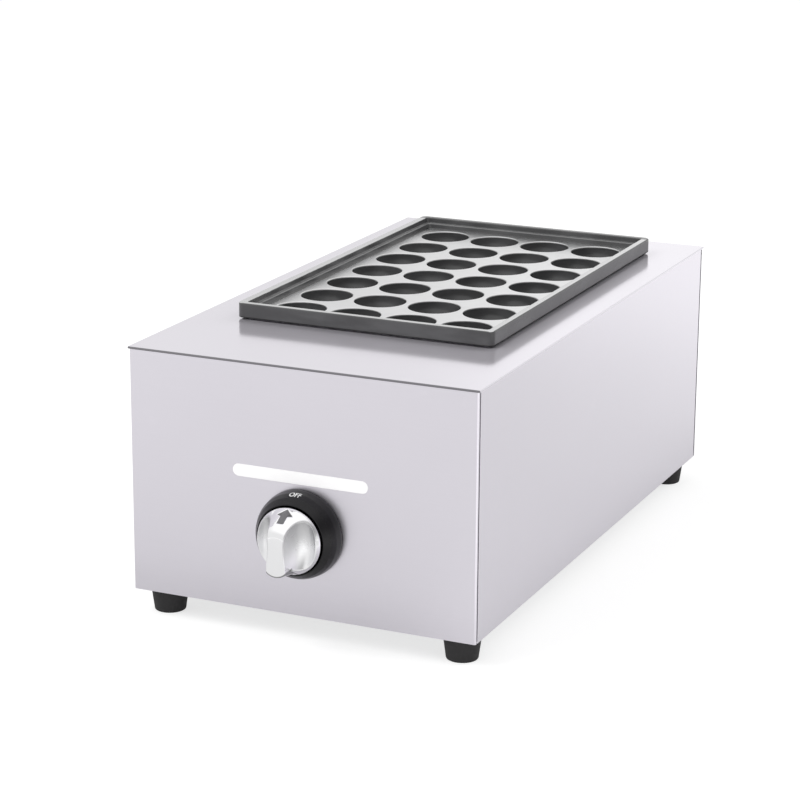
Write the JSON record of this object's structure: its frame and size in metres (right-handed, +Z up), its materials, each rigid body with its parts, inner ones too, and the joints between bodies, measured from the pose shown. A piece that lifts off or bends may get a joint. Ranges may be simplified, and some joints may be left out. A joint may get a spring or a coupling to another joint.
{
  "type": "fishball grill",
  "caption": "Countertop gas grill with a cast plate of round cups over a burner in a sheet steel box on rubber feet, with one push-and-turn gas knob.",
  "frame": {"origin": "on the table, under the middle of the overall box", "axes": "+Z up; the knob side faces -Y; +X is to the right of someone who faces the knob"},
  "size_m": [0.26, 0.536, 0.2055],
  "materials": {
    "stainless_sheet": "satin stainless steel sheet",
    "galvanised_sheet": "galvanised steel sheet",
    "coated_aluminium": "cast aluminium with a dark non-stick coating, bare on the rim and the floor",
    "chromed_metal": "polished chrome plate",
    "black_plastic": "glossy black phenolic plastic",
    "black_rubber": "matt black rubber",
    "opal_glass": "white opal heat-proof glass",
    "brass": "machined brass",
    "cast_aluminium": "bead-blasted casting",
    "cast_iron": "as cast, heat-blackened",
    "copper": null,
    "white_ceramic": null,
    "red_silicone": "silicone lead sleeve",
    "zinc_plated_steel": "bright zinc plate"
  },
  "bodies": {
    "root": {"deck": "stainless_sheet", "front_panel": "stainless_sheet", "back_panel": "stainless_sheet", "left_side_panel": "stainless_sheet", "right_side_panel": "stainless_sheet", "bottom_pan": "galvanised_sheet", "burner_support_front": "galvanised_sheet", "burner_support_rear": "galvanised_sheet", "heat_shield_left": "galvanised_sheet", "heat_shield_right": "galvanised_sheet", "heat_shield_front": "galvanised_sheet", "heat_shield_rear": "galvanised_sheet", "knob_bezel": "black_plastic", "piezo_igniter": "black_plastic", "foot_front_left": "black_rubber", "foot_front_right": "black_rubber", "foot_rear_left": "black_rubber", "foot_rear_right": "black_rubber", "sight_window": "opal_glass", "valve_bonnet": "brass", "gas_jet": "brass", "gas_inlet": "brass", "inlet_nut": "brass", "pipe_nut": "brass", "valve_body": "cast_aluminium", "mixing_tube": "cast_iron", "mixing_elbow": "cast_iron", "burner_manifold": "cast_iron", "burner_tube_left": "cast_iron", "burner_tube_centre": "cast_iron", "burner_tube_right": "cast_iron", "gas_pipe": "copper", "thermocouple_lead": "copper", "electrode_insulator": "white_ceramic", "ignition_lead": "red_silicone", "valve_bracket": "zinc_plated_steel", "valve_screw_left": "zinc_plated_steel", "valve_screw_right": "zinc_plated_steel", "electrode_bracket": "zinc_plated_steel", "spark_electrode": "zinc_plated_steel", "thermocouple_bracket": "zinc_plated_steel", "thermocouple": "zinc_plated_steel", "window_clip_left": "zinc_plated_steel", "window_clip_right": "zinc_plated_steel", "foot_bolt_front_left": "zinc_plated_steel", "foot_bolt_front_right": "zinc_plated_steel", "foot_bolt_rear_left": "zinc_plated_steel", "foot_bolt_rear_right": "zinc_plated_steel", "back_screw_left": "zinc_plated_steel", "back_screw_right": "zinc_plated_steel", "pipe_clip": "zinc_plated_steel"},
    "baking_plate": {"baking_plate": "coated_aluminium"},
    "valve_plug": {"valve_plug": "brass"},
    "knob": {"knob": "chromed_metal", "spindle": "zinc_plated_steel", "return_spring": "zinc_plated_steel"},
    "air_shutter": {"air_shutter": "zinc_plated_steel"}
  },
  "joints": [
    {"name": "plate_lift", "type": "slide", "parent": "root", "child": "baking_plate", "axis": [0, 0, 1], "range_m": [0, 0.12]},
    {"name": "knob_turn", "type": "hinge", "parent": "root", "child": "valve_plug", "pos_m": [0.001, -0.2278, 0.078], "axis": [0, -1, 0], "range_deg": [0, 180]},
    {"name": "knob_push", "type": "slide", "parent": "valve_plug", "child": "knob", "axis": [0, 1, 0], "range_m": [0, 0.004], "stiffness_N_per_m": 1500, "springref_m": -0.002, "deforming": ["return_spring"]},
    {"name": "shutter_turn", "type": "hinge", "parent": "root", "child": "air_shutter", "pos_m": [0.001, -0.1668, 0.078], "axis": [0, 1, 0], "range_deg": [0, 45]}
  ]
}
